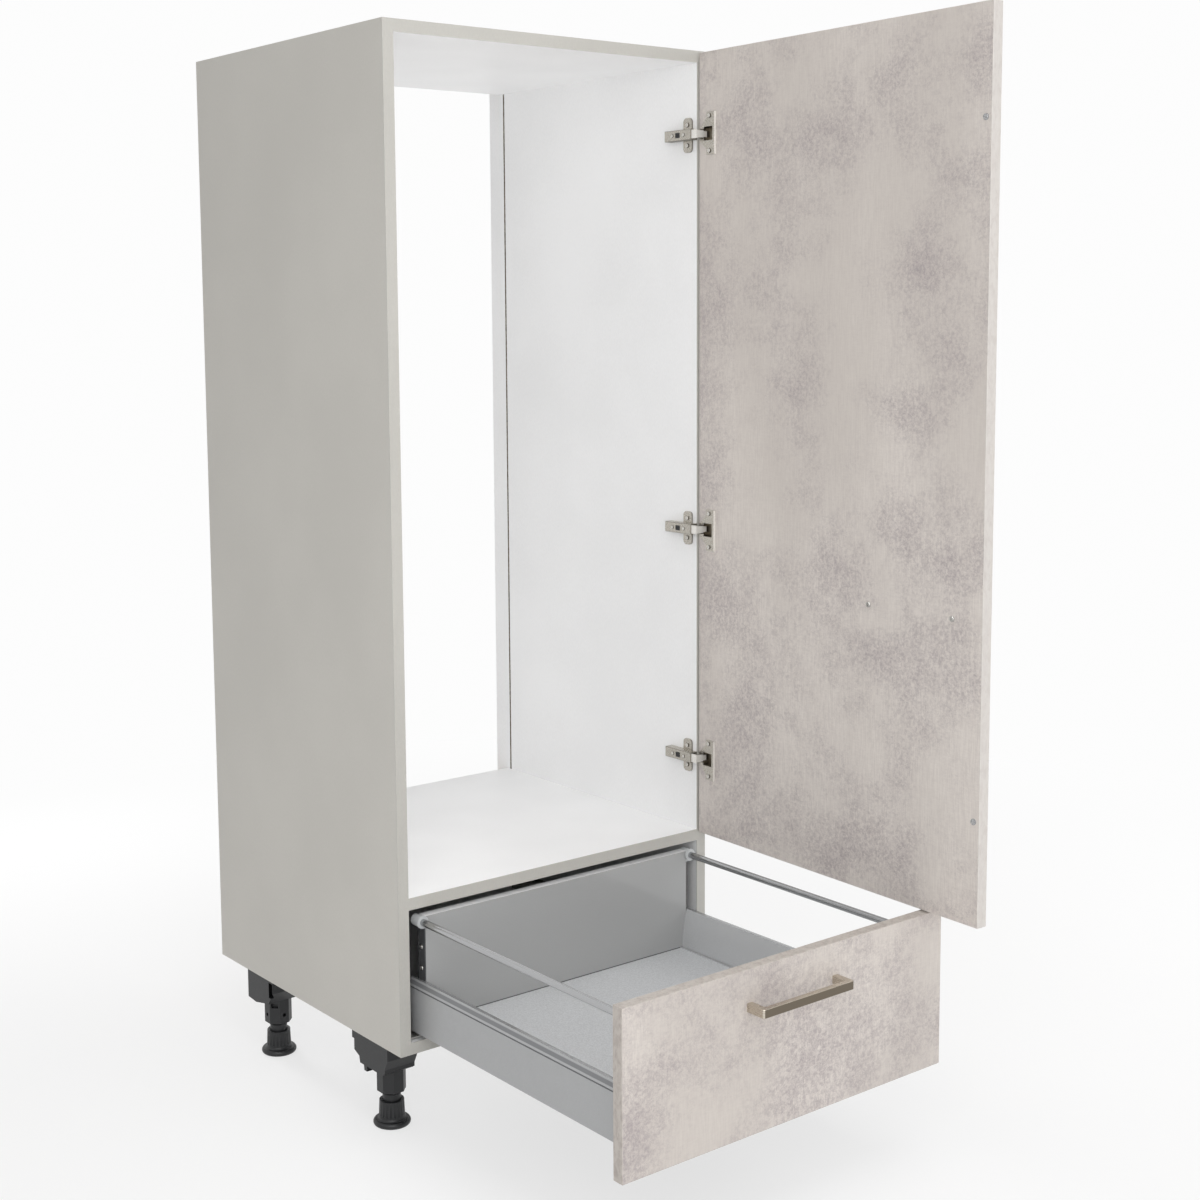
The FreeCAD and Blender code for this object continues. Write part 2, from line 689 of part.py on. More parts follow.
def runner_screws_left():
    screws = []
    for setback in RUNNER_SCREW_SETBACKS:
        seat = (-INNER_X + RUNNER_PLATE, RUNNER_SETBACK + setback, RUNNER_Z + RUNNER_SCREW_HEIGHT)
        screws.append(small_screw(seat, (-1, 0, 0), PLATE_SCREW_LENGTH))
    return screws


def side_prism(before, bow, after):
    """The drawer side's length, its section running straight, in one arc over bow and straight again."""
    start = [V(SIDE_X + a, FRONT_INNER_Y, SIDE_Z + h) for a, h in before]
    end = [V(SIDE_X + a, FRONT_INNER_Y, SIDE_Z + h) for a, h in after]
    middle = V(SIDE_X + bow[0], FRONT_INNER_Y, SIDE_Z + bow[1])
    arc = Part.Arc(start[-1], middle, end[0]).toShape()
    edges = Part.makePolygon(start).Edges + [arc] + Part.makePolygon(end + start[:1]).Edges
    return Part.Face(Part.Wire(edges)).extrude(V(0, SIDE_LENGTH + SIDE_TAIL, 0))


def drawer_side_left():
    bow_a = (SIDE_TOP_END + SIDE_FOOT_WIDTH) / 2 + SIDE_BOW
    bow_h = (SIDE_HEIGHT + BOTTOM_THICKNESS) / 2
    outside = [
        (0, 0),
        (0, SIDE_SHOULDER - 2 * SIDE_LINE),
        (SIDE_LINE, SIDE_SHOULDER - SIDE_LINE),
        (SIDE_LINE, SIDE_SHOULDER),
        (0, SIDE_SHOULDER + SIDE_LINE),
        (SIDE_TOP_START, SIDE_HEIGHT),
        (SIDE_TOP_END, SIDE_HEIGHT),
    ]
    foot = [(SIDE_FOOT_WIDTH, BOTTOM_THICKNESS), (SIDE_FOOT_WIDTH, 0)]
    inside = [
        (SIDE_WALL, 0),
        (SIDE_WALL, SIDE_SHOULDER),
        (SIDE_TOP_START + SIDE_WALL / 2, SIDE_HEIGHT - SIDE_WALL),
        (SIDE_TOP_END - SIDE_WALL, SIDE_HEIGHT - SIDE_WALL),
    ]
    inside_foot = [(a - SIDE_WALL, h) for a, h in foot]
    shell = side_prism(outside, (bow_a, bow_h), foot)
    shell = shell.cut(side_prism(inside, (bow_a - SIDE_WALL, bow_h), inside_foot))
    behind_back = box(
        (SIDE_X + SIDE_TOP_END - SIDE_WALL, SIDE_REAR_Y, SIDE_Z),
        (SIDE_X + SIDE_FOOT_WIDTH, SIDE_REAR_Y + SIDE_TAIL, BRACKET_Z),
    )
    lip_x = SIDE_X + SIDE_FOOT_WIDTH
    lip_z = SIDE_Z + BOTTOM_THICKNESS
    lip = box(
        (lip_x - SIDE_WALL, FRONT_INNER_Y, lip_z),
        (lip_x + SIDE_LIP, SIDE_REAR_Y, lip_z + SIDE_LIP_HEIGHT),
    )
    mouth = MID_TOP_Z + RUNNER_PLAY
    channel = box(
        (SIDE_X + SIDE_WALL, FRONT_INNER_Y, mouth),
        (SIDE_X + SIDE_WALL + CHANNEL_WIDTH, SIDE_REAR_Y, MID_HEAD_Z + RUNNER_HEAD_HEIGHT + CHANNEL_ROOF),
    )
    slot = runner_slot((FRONT_INNER_Y, SIDE_REAR_Y), mouth, MID_HEAD_Z)
    return fuse([shell.cut(behind_back), lip, channel.cut(slot)])


def back_bracket_left():
    """A plate on the end of the back, with a tongue under the top of the drawer side."""
    plate = box(
        (BRACKET_X, SIDE_REAR_Y, BRACKET_Z - BRACKET_DROP),
        (-BACK_HALF, BACK_REAR_Y, HOLDER_Z),
    )
    tongue_top = BRACKET_Z - SIDE_WALL
    tongue = box(
        (SIDE_X + SIDE_TOP_START + SIDE_WALL, SIDE_REAR_Y, tongue_top - BRACKET_THICKNESS),
        (BRACKET_X, BACK_REAR_Y, tongue_top),
    )
    return fuse([plate, tongue])


def front_bracket_left():
    low = SIDE_Z + FRONT_BRACKET_LOW
    high = SIDE_Z + FRONT_BRACKET_HIGH
    x = SIDE_X + SIDE_WALL
    rear = FRONT_INNER_Y + FRONT_BRACKET_LENGTH
    block = box((x, FRONT_INNER_Y, low), (x + FRONT_BRACKET_WIDTH, rear, high))
    peg_x = x + FRONT_BRACKET_WIDTH / 2
    pegs = []
    for z in (low + PEG_RADIUS, high - PEG_RADIUS):
        start = (peg_x, FRONT_INNER_Y + PEG_LENGTH, z)
        pegs.append(rod(PEG_RADIUS, start, (peg_x, FRONT_INNER_Y - PEG_LENGTH, z)))
    return fuse([block] + pegs)


def bracket_screws_left():
    y = (SIDE_REAR_Y + BACK_REAR_Y) / 2
    screws = []
    for height in BRACKET_SCREW_HEIGHTS:
        screws.append(small_screw((BRACKET_X, y, BRACKET_Z + height), (1, 0, 0), BRACKET_SCREW_LENGTH))
    return screws


def rail_rod(radius):
    start = FRONT_INNER_Y - RAIL_IN_FRONT
    end = holder_front() + RAIL_IN_HOLDER
    return rod(radius, (RAIL_X, start, RAIL_Z), (RAIL_X, end, RAIL_Z))


def gallery_rail_left():
    return rail_rod(RAIL_RADIUS).cut(rail_rod(RAIL_RADIUS - RAIL_WALL))


def holder_front():
    return BACK_REAR_Y - HOLDER_LENGTH


def rail_holder_left():
    front = holder_front()
    base = box((-BACK_HALF - HOLDER_BASE, SIDE_REAR_Y, HOLDER_Z), (-BACK_HALF, BACK_REAR_Y, RAIL_Z))
    sleeve = rod(HOLDER_RADIUS, (RAIL_X, front, RAIL_Z), (RAIL_X, BACK_REAR_Y, RAIL_Z))
    lip = rod(HOLDER_LIP_RADIUS, (RAIL_X, front, RAIL_Z), (RAIL_X, front + HOLDER_LIP, RAIL_Z))
    return fuse([base, sleeve, lip]).cut([rail_rod(RAIL_RADIUS), drawer_back()])


def drawer_back():
    return box((-BACK_HALF, SIDE_REAR_Y, SIDE_Z), (BACK_HALF, BACK_REAR_Y, SIDE_Z + BACK_HEIGHT))


def drawer_bottom():
    half = -SIDE_X - SIDE_FOOT_WIDTH
    return box((-half, FRONT_INNER_Y, SIDE_Z), (half, SIDE_REAR_Y, SIDE_Z + BOTTOM_THICKNESS))


# Legs
def octagon(across_flats, x, y, z):
    radius = across_flats / 2 / math.cos(math.pi / 8)
    corners = []
    for step in range(8):
        angle = math.pi / 8 + step * math.pi / 4
        corners.append((x + radius * math.cos(angle), y + radius * math.sin(angle), z))
    return corners


def leg_socket(outline, tongue_direction, facing):
    """Socket of a left leg round the origin, with its tongue and its notch towards their directions."""
    front, rear = outline[0][0], outline[-1][0]
    lowest = min(height for place, height in outline)
    plate = box((-SOCKET_OUTWARD, front, -SOCKET_PLATE), (SOCKET_PLATE_INWARD, rear, 0))
    block = prism([(-SOCKET_OUTWARD, *point) for point in outline], V(SOCKET_OUTWARD + SOCKET_INWARD, 0, 0))
    tongue = box((0, -TONGUE_WIDTH / 2, -SOCKET_PLATE), (TONGUE_LENGTH, TONGUE_WIDTH / 2, 0))
    lug = box(
        (TONGUE_LENGTH - TONGUE_LUG, -TONGUE_WIDTH / 2, -TONGUE_LUG_DEPTH),
        (TONGUE_LENGTH, TONGUE_WIDTH / 2, 0),
    )
    tail = fuse([tongue, lug])
    tail.Placement = FreeCAD.Placement(V(0, 0, 0), FreeCAD.Rotation(RIGHT, tongue_direction))
    notch = box(
        (0, -SOCKET_NOTCH_WIDTH / 2, -SOCKET_NOTCH_DEPTH),
        (2 * SOCKET_OUTWARD, SOCKET_NOTCH_WIDTH / 2, -SOCKET_PLATE),
    )
    notch = notch.rotated(V(0, 0, 0), UP, facing)
    hole = prism(octagon(TUBE_ACROSS_FLATS, 0, 0, lowest), V(0, 0, -SOCKET_PLATE - lowest))
    return fuse([plate, block, tail]).cut([hole, notch])


def socket_screws(x, y):
    inward = 1 if x < 0 else -1
    screws = []
    for place in SOCKET_SCREW_PLACES:
        seat = (x + inward * SOCKET_SCREW_INWARD, y + place, -SOCKET_PLATE)
        screws.append(small_screw(seat, (0, 0, 1), SOCKET_SCREW_LENGTH))
    return screws


def leg_tube(facing):
    """Tube of a left leg, with its window towards the facing angle and a round hole on each side of it."""
    shaft = prism(octagon(TUBE_ACROSS_FLATS, 0, 0, -TUBE_DEPTH), V(0, 0, TUBE_DEPTH - SOCKET_PLATE))
    taper = Part.makeCone(NECK_RADIUS, TUBE_ACROSS_FLATS / 2, TUBE_TAPER, V(0, 0, -TUBE_DEPTH - TUBE_TAPER))
    neck_low = -TUBE_DEPTH - TUBE_TAPER - NECK_LENGTH
    neck = rod(NECK_RADIUS, (0, 0, neck_low), (0, 0, -TUBE_DEPTH))
    bore_top = -LEG_HEIGHT + STEM_HEIGHT + STEM_ROOM
    bore = rod(STEM_RADIUS + STEM_CLEARANCE, (0, 0, neck_low), (0, 0, bore_top))
    reach = TUBE_ACROSS_FLATS / 2
    window = box(
        (reach - TUBE_WINDOW_DEPTH, -TUBE_WINDOW_WIDTH / 2, -TUBE_WINDOW_LEVEL - TUBE_WINDOW_HEIGHT / 2),
        (reach, TUBE_WINDOW_WIDTH / 2, -TUBE_WINDOW_LEVEL + TUBE_WINDOW_HEIGHT / 2),
    )
    hole_start = (reach - TUBE_WINDOW_DEPTH, 0, -TUBE_HOLE_LEVEL)
    hole = rod(TUBE_HOLE_RADIUS, hole_start, (reach, 0, -TUBE_HOLE_LEVEL))
    cuts = [
        bore,
        window.rotated(V(0, 0, 0), UP, facing),
        hole.rotated(V(0, 0, 0), UP, facing - 45),
        hole.rotated(V(0, 0, 0), UP, facing + 45),
    ]
    return fuse([shaft, taper, neck]).cut(cuts)


def leg_foot():
    """Foot disc, fluted collar and stem as one turned piece standing on the floor."""
    floor = -LEG_HEIGHT
    sole_edge = V(FOOT_RADIUS - FOOT_EDGE, 0, floor)
    rim_middle = V(FOOT_RADIUS, 0, floor + FOOT_RIM / 2)
    rim_top = V(FOOT_RADIUS - FOOT_EDGE, 0, floor + FOOT_RIM)
    rim = Part.Arc(sole_edge, rim_middle, rim_top).toShape()
    flare_top = V(COLLAR_BOTTOM_RADIUS, 0, floor + FLARE_HEIGHT)
    flare_middle = (rim_top + flare_top) * 0.5 - V(FLARE_SAG, 0, FLARE_SAG)
    flare = Part.Arc(rim_top, flare_middle, flare_top).toShape()
    sole = Part.makeLine(V(0, 0, floor), sole_edge)
    above = [
        flare_top,
        V(COLLAR_TOP_RADIUS, 0, floor + COLLAR_HEIGHT),
        V(COLLAR_BORE_RADIUS, 0, floor + COLLAR_HEIGHT),
        V(COLLAR_BORE_RADIUS, 0, floor + COLLAR_BORE_FLOOR),
        V(STEM_RADIUS, 0, floor + COLLAR_BORE_FLOOR),
        V(STEM_RADIUS, 0, floor + STEM_HEIGHT),
        V(0, 0, floor + STEM_HEIGHT),
        V(0, 0, floor),
    ]
    outline = Part.Wire([sole, rim, flare] + Part.makePolygon(above).Edges)
    turned = Part.Face(outline).revolve(V(0, 0, 0), UP, 360)
    flutes = []
    for step in range(FLUTE_COUNT):
        angle = 2 * math.pi * step / FLUTE_COUNT
        x = COLLAR_BOTTOM_RADIUS * math.cos(angle)
        y = COLLAR_BOTTOM_RADIUS * math.sin(angle)
        start = (x, y, floor + FLARE_HEIGHT + FLUTE_RADIUS)
        flutes.append(rod(FLUTE_RADIUS, start, (x, y, floor + COLLAR_HEIGHT)))
    return turned.cut(flutes)


# Assemblies: each returns its named nodes in the working frame
def carcass_nodes():
    locks, bolts = cam_fittings()
    pins = dowels()
    plate_fixings = [item for z in HINGES.values() for item in plate_screws(z)]
    adjusters = [item for z in HINGES.values() for item in adjusting_screws(z)]
    rail_fixings = runner_screws_left()
    rail_fixings += [mirrored(item) for item in runner_screws_left()]
    leg_fixings = [item for x, y in LEGS.values() for item in socket_screws(x, y)]
    joinery = pins + bolts
    nodes = {}
    left = side_panel_left()
    nodes["side_panel_left"] = left.cut(joinery + rail_fixings)
    nodes["side_panel_right"] = mirrored(left).cut(joinery + rail_fixings + plate_fixings)
    for name, level in shelf_levels().items():
        nodes[name] = flat_board(level).cut(joinery + cam_bores() + leg_fixings)
    nodes["drawer_bay_back"] = drawer_bay_back()
    nodes["carcass_edge_bands"] = group(edge_bands())
    nodes["wood_dowels"] = group(pins)
    nodes["cam_fittings"] = group(locks + bolts)
    for name, z in HINGES.items():
        nodes["hinge_plate_" + name] = hinge_plate(z).cut(plate_screws(z) + adjusting_screws(z))
        nodes["hinge_arm_" + name] = hinge_arm(z).cut(adjusting_screws(z))
        nodes["hinge_link_" + name] = hinge_link(z)
    nodes["hinge_plate_screws"] = group(plate_fixings)
    nodes["hinge_adjusting_screws"] = group(adjusters)
    rail = runner_rail_left().cut(runner_screws_left())
    nodes["runner_rail_left"] = rail
    nodes["runner_rail_right"] = mirrored(rail)
    nodes["runner_rail_screws"] = group(rail_fixings)
    for name, (x, y) in LEGS.items():
        if name.startswith("front"):
            socket = leg_socket(FRONT_SOCKET_OUTLINE, BACKWARD, FRONT_LEG_FACING)
            tube = leg_tube(FRONT_LEG_FACING)
        else:
            socket = leg_socket(REAR_SOCKET_OUTLINE, RIGHT, REAR_LEG_FACING)
            tube = leg_tube(REAR_LEG_FACING)
        if x > 0:
            socket = mirrored(socket)
            tube = mirrored(tube)
        nodes["leg_socket_" + name] = socket.translated(V(x, y, 0)).cut(socket_screws(x, y))
        nodes["leg_tube_" + name] = tube.translated(V(x, y, 0))
    nodes["leg_socket_screws"] = group(leg_fixings)
    return nodes


def foot_nodes():
    return {"leg_foot_" + name: leg_foot().translated(V(x, y, 0)) for name, (x, y) in LEGS.items()}


def runner_mid_nodes():
    member = runner_mid_left().translated(V(0, -DRAWER_OUT / 2, 0))
    return {"runner_mid_left": member, "runner_mid_right": mirrored(member)}


def door_nodes():
    handle_x = -FRONT_HALF + DOOR_HANDLE_FROM_FREE_EDGE + HANDLE_PITCH / 2
    handle, handle_screws = handle_set(handle_x, DOOR_BOTTOM + DOOR_HANDLE_ABOVE_BOTTOM)
    cup_fixings = [item for z in HINGES.values() for item in cup_screws(z)]
    bores = [cup_bore(z) for z in HINGES.values()]
    nodes = {"door_panel": front_board(DOOR_BOTTOM, DOOR_TOP).cut(bores + cup_fixings + handle_screws)}
    for name, z in HINGES.items():
        nodes["hinge_cup_" + name] = hinge_cup(z).cut(cup_screws(z))
    nodes["hinge_cup_screws"] = group(cup_fixings)
    nodes["hinge_pins"] = group([hinge_pin(z) for z in HINGES.values()])
    nodes["door_handle"] = handle
    nodes["door_handle_screws"] = group(handle_screws)
    nodes["door_bumpers"] = group(bumpers())
    pivot = V(PIVOT_X, PIVOT_Y, 0)
    return {name: shape.rotated(pivot, UP, DOOR_OPEN) for name, shape in nodes.items()}


def drawer_nodes():
    handle, handle_screws = handle_set(0, DRAWER_FRONT_HEIGHT - DRAWER_HANDLE_BELOW_TOP)
    rail = gallery_rail_left()
    rail_ends = [rail_rod(RAIL_RADIUS), mirrored(rail_rod(RAIL_RADIUS))]
    front_bracket = front_bracket_left()
    front_brackets = [front_bracket, mirrored(front_bracket)]
    left_fixings = bracket_screws_left()
    fixings = left_fixings + [mirrored(item) for item in left_fixings]
    back_bracket = back_bracket_left().cut(left_fixings)
    side = drawer_side_left()
    nodes = {
        "drawer_front": front_board(0, DRAWER_FRONT_HEIGHT).cut(handle_screws + rail_ends + front_brackets),
        "drawer_handle": handle,
        "drawer_handle_screws": group(handle_screws),
        "drawer_side_left": side,
        "drawer_side_right": mirrored(side),
        "drawer_back": drawer_back().cut(fixings),
        "drawer_bottom": drawer_bottom(),
        "gallery_rail_left": rail,
        "gallery_rail_right": mirrored(rail),
        "rail_holders": group([rail_holder_left(), mirrored(rail_holder_left())]),
        "front_brackets": group(front_brackets),
        "back_brackets": group([back_bracket, mirrored(back_bracket)]),
        "back_bracket_screws": group(fixings),
    }
    return {name: shape.translated(V(0, -DRAWER_OUT, 0)) for name, shape in nodes.items()}


def whole_box(shapes):
    total = FreeCAD.BoundBox()
    for shape in shapes:
        total.add(shape.optimalBoundingBox(False, False))
    return total


def all_nodes():
    nodes = {}
    for assembly in (carcass_nodes, foot_nodes, runner_mid_nodes, door_nodes, drawer_nodes):
        nodes.update(assembly())
    return nodes


def export(nodes):
    total = whole_box(nodes.values())
    origin = V(total.Center.x, total.Center.y, total.ZMin)
    os.makedirs("parts", exist_ok=True)
    for name, shape in nodes.items():
        shape.translated(-origin).exportStep("parts/" + name + ".step")
    print("origin in the working frame:", origin)
    print("overall size:", total.XLength, total.YLength, total.ZLength)


NODES = all_nodes()
export(NODES)
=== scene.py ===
import math

import bmesh
import bpy
from mathutils import Matrix, Vector


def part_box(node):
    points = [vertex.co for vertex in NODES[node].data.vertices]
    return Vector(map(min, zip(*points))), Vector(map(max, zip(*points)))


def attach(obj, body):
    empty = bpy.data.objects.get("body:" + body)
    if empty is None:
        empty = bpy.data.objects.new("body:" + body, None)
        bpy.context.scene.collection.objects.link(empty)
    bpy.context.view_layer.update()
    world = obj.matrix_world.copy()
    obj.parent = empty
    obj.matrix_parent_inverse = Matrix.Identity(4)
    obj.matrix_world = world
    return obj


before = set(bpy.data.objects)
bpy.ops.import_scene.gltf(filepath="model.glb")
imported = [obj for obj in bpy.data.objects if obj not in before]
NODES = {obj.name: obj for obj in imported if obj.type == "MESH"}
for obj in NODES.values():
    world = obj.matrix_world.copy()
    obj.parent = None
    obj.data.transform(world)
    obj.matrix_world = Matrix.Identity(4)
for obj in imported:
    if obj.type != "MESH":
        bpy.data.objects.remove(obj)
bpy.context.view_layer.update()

# Camera: front left of the unit, a little under its top, in metres and degrees, its lens in millimetres
CAMERA_AT = Vector((-1.6929, -2.1590, 1.2239))
CAMERA_YAW = 37.874
CAMERA_PITCH = -6.464
CAMERA_ROLL = -0.439
CAMERA_LENS = 54.75
CAMERA_SENSOR = 36.0
CAMERA_SHIFT = (0.0294, -0.07)

# Light levels, and the stage in metres
BACKGROUND = 0.98
AMBIENT = 0.36
FLOOR_LIFT = 0.68
FLOOR_SIZE = 9.0
FLOOR_FADE_START = 0.8
FLOOR_FADE_END = 2.4
FLOOR_TONE = (0.9, 0.9, 0.9, 1.0)
FLOOR_ROUGHNESS = 0.8
PLAIN_WHITE = (1.0, 1.0, 1.0, 1.0)
SEEN_RAYS = ("Is Camera Ray", "Is Glossy Ray", "Is Transmission Ray")

# Lamps: name, place, target, size in metres, power in watts, mirrored in glossy surfaces
LAMPS = (
    ("key_light", (-1.6, -1.9, 1.5), (0.0, 0.0, 0.8), (1.8, 2.0), 26.0, True),
    ("front_light", (0.4, -3.6, 1.2), (0.0, 0.0, 0.8), (2.4, 2.0), 22.0, False),
    ("back_light", (-0.2, 2.6, 0.95), (0.0, 0.3, 0.95), (0.6, 1.2), 25.0, False),
    ("side_light", (2.6, -0.4, 1.3), (0.3, -0.1, 0.8), (1.6, 1.6), 24.0, False),
    ("top_light", (0.0, -1.0, 3.8), (0.0, -0.4, 0.4), (2.4, 2.4), 44.0, True),
)

# Levels on the drawer side, in metres below its top: the flat top, the groove that takes painted shade,
# and a band of painted dark reflection on the shoulder
SIDE_TOP_EDGE = 0.0005
SIDE_GROOVE = (0.0100, 0.0128)
SIDE_REFLECTION_BAND = (0.0026, 0.0076)

# Shaded gap over the drawer's floor, in metres
FLOOR_GAP = 0.0014

# Place of the print on the fronts, in metres
DECOR_OFFSET = (2.68, -5.76, 1.68)

# Faces: how near a normal is to a direction, and how near a face is to a board's surface in metres
FLAT = 0.99
NEARLY_FLAT = 0.9
FACING = 0.7
SIDEWAYS = 0.5
SLOPED = 0.3
FLUSH = 0.0003

# Softness of painted edges, in metres
BAND_SOFTNESS = 0.0004
SHADE_SOFTNESS = 0.0003

# Hinges, in metres: depth of the plated rim of a cup, below which the bowl takes painted shade, and the
# dark insert on an arm
CUP_RIM = 0.0030
INSERT_SETBACK = 0.031
INSERT_SIZE = (0.0010, 0.0100, 0.0080)
INSERT_STANDS = 0.0004
INSERT_CORNER = 0.0008
INSERT_RIM = 0.0011
INSERT_SUNK = 0.0003

# Sockets of a mix node that hold colours
MIX_FIRST = 6
MIX_SECOND = 7
MIX_RESULT = 2

# Colours, as seen in even light, except the lit and shaded copies below that carry painted light, shade,
# sheen, highlight or reflection
WHITE_BOARD = "f6f6f6"
GREY_BOARD = "d1cec7"
GREY_BAND = "c2c0ba"
CHIPBOARD_LIGHT = "b4aa9d"
CHIPBOARD_DARK = "7b7266"
HARDBOARD_BROWN = "8a6a4b"
BEECH = "c9a677"
DECOR_PALE = "ddd6cf"
DECOR_WARM = "cdc6bf"
DECOR_STREAK = "beb5b0"
DECOR_MAUVE = "9c9294"
DECOR_EDGE = "d6d1cc"
DECOR_EDGE_DARK = "c3bcb5"
DECOR_EDGE_SPOT = "a79d97"
SILVER_COAT = "b5b6b7"
# Copies of the silver coat for the drawer sides: painted sheen on the shoulder, painted light on the inner
# wall, painted reflection on the top and in a dark band, painted shade in the groove
SILVER_SHOULDER_SHEEN = "b9babb"
SILVER_INNER_LIT = "d9dadb"
SILVER_TOP_REFLECTION = "a9aaab"
SILVER_REFLECTION_BAND = "818284"
SILVER_GROOVE_SHADE = "747577"
DRAWER_GREY = "a9aaaa"
# Near-white tone on the drawer boards' edges: painted highlight
DRAWER_EDGE_HIGHLIGHT = "ebebeb"
DRAWER_SHADE = "4a4a4a"
DRAWER_FLOOR = "d3d5d7"
RAIL_SILVER = "b2b3b4"
NICKEL_SATIN = "d0c8ba"
# Darker nickel on the handles' front faces: painted shade
NICKEL_SHADED_FACE = "776e61"
# Pale, nearly matt nickel: painted light on the hinge links, painted highlight on the cups' front edges
# and the hinge screw heads
NICKEL_HIGHLIGHT_TONE = "efece6"
NICKEL_BRIGHT = "c2bdb3"
# Darker nickel on the hinges' edges and recesses: painted shade
NICKEL_SHADED_EDGE = "86827a"
NICKEL_SHADE = "57524a"
# Darker nickel in the hinge cups' bowls: painted shade
NICKEL_BOWL_SHADE = "8c8578"
ZINC = "bfbeba"
LIGHT_PLASTIC = "c9cccd"
DARK_PLASTIC = "4b4c4e"
BLACK_PLASTIC = "1b1c1e"
CLEAR_PLASTIC = "e4e6e8"


def colour(text):
    """Linear colour of an sRGB hex text."""
    parts = [int(text[i:i + 2], 16) / 255 for i in (0, 2, 4)]
    linear = [p / 12.92 if p <= 0.04045 else ((p + 0.055) / 1.055) ** 2.4 for p in parts]
    return (*linear, 1.0)


def darkened(base, share):
    """A linear colour times a share."""
    return tuple(share * c for c in base[:3]) + (1.0,)


# Shader helpers
class Shader:
    """A new material and short ways to add nodes to it."""

    def __init__(self, name):
        self.material = bpy.data.materials.new(name)
        self.material.use_nodes = True
        self.tree = self.material.node_tree
        self.surface = self.tree.nodes["Principled BSDF"]
        self.place = self.add("ShaderNodeTexCoord").outputs["Object"]

    def add(self, kind, settings=None, **inputs):
        """A new node with these settings and inputs."""
        made = self.tree.nodes.new(kind)
        for key, value in (settings or {}).items():
            setattr(made, key, value)
        for key, value in inputs.items():
            self.plug(made.inputs[key.replace("_", " ")], value)
        return made

    def plug(self, socket, value):
        """Links an output to a socket, or gives the socket a constant."""
        if isinstance(value, bpy.types.NodeSocket):
            self.tree.links.new(value, socket)
        else:
            socket.default_value = value

    def set(self, **inputs):
        """Inputs of the surface shader."""
        for key, value in inputs.items():
            self.plug(self.surface.inputs[key.replace("_", " ")], value)

    def stretched(self, scale, offset=(0.0, 0.0, 0.0)):
        """Object coordinates in metres, times a scale along each axis, then moved."""
        made = self.add("ShaderNodeMapping", Vector=self.place, Scale=scale, Location=offset)
        return made.outputs["Vector"]

    def noise(self, scale, detail=3.0, roughness=0.5, distortion=0.0, vector=None):
        made = self.add("ShaderNodeTexNoise", Vector=vector or self.place, Scale=scale,
                        Detail=detail, Roughness=roughness, Distortion=distortion)
        return made.outputs["Fac"]

    def ramp(self, value, low, high, out_low=0.0, out_high=1.0):
        """A smooth step from out_low to out_high as the value goes from low to high."""
        made = self.add("ShaderNodeMapRange", {"interpolation_type": "SMOOTHSTEP"}, Value=value,
                        From_Min=low, From_Max=high, To_Min=out_low, To_Max=out_high)
        return made.outputs["Result"]

    def math(self, operation, first, second):
        made = self.add("ShaderNodeMath", {"operation": operation})
        self.plug(made.inputs[0], first)
        self.plug(made.inputs[1], second)
        return made.outputs["Value"]

    def mix(self, share, first, second):
        """The first colour, with this share of the second."""
        made = self.add("ShaderNodeMix", {"data_type": "RGBA"})
        self.plug(made.inputs["Factor"], share)
        self.plug(made.inputs[MIX_FIRST], first)
        self.plug(made.inputs[MIX_SECOND], second)
        return made.outputs[MIX_RESULT]

    def height(self):
        """Height over the floor, in metres."""
        return self.add("ShaderNodeSeparateXYZ", Vector=self.place).outputs["Z"]

    def bump(self, height, strength, distance):
        made = self.add("ShaderNodeBump", Height=height, Strength=strength, Distance=distance)
        self.plug(self.surface.inputs["Normal"], made.outputs["Normal"])


# Materials
def coated_board(name, tone, roughness):
    """Matt coated board: a faint cloud in the colour and a fine pearl in the surface."""
    s = Shader(name)
    cloud = s.noise(5.0, 2.0)
    grain = s.noise(900.0, 2.0, vector=s.stretched((1.0, 1.0, 0.25)))
    base = colour(tone)
    darker = darkened(base, 0.94)
    share = s.math("MULTIPLY", s.math("ADD", cloud, grain), 0.5)
    s.set(Base_Color=s.mix(s.ramp(share, 0.35, 0.65), darker, base))
    s.set(Roughness=s.ramp(grain, 0.3, 0.7, roughness - 0.05, roughness + 0.05))
    s.bump(grain, 0.25, 0.0002)
    return s.material


def chipboard():
    """Raw pressed chips on edges that carry no band."""
    s = Shader("raw_chipboard")
    chips = s.add("ShaderNodeTexVoronoi", Vector=s.place, Scale=420.0, Randomness=1.0)
    tone = s.add("ShaderNodeSeparateColor", Color=chips.outputs["Color"]).outputs["Red"]
    s.set(Base_Color=s.mix(tone, colour(CHIPBOARD_DARK), colour(CHIPBOARD_LIGHT)))
    s.set(Roughness=0.85)
    s.bump(tone, 0.5, 0.0005)
    return s.material


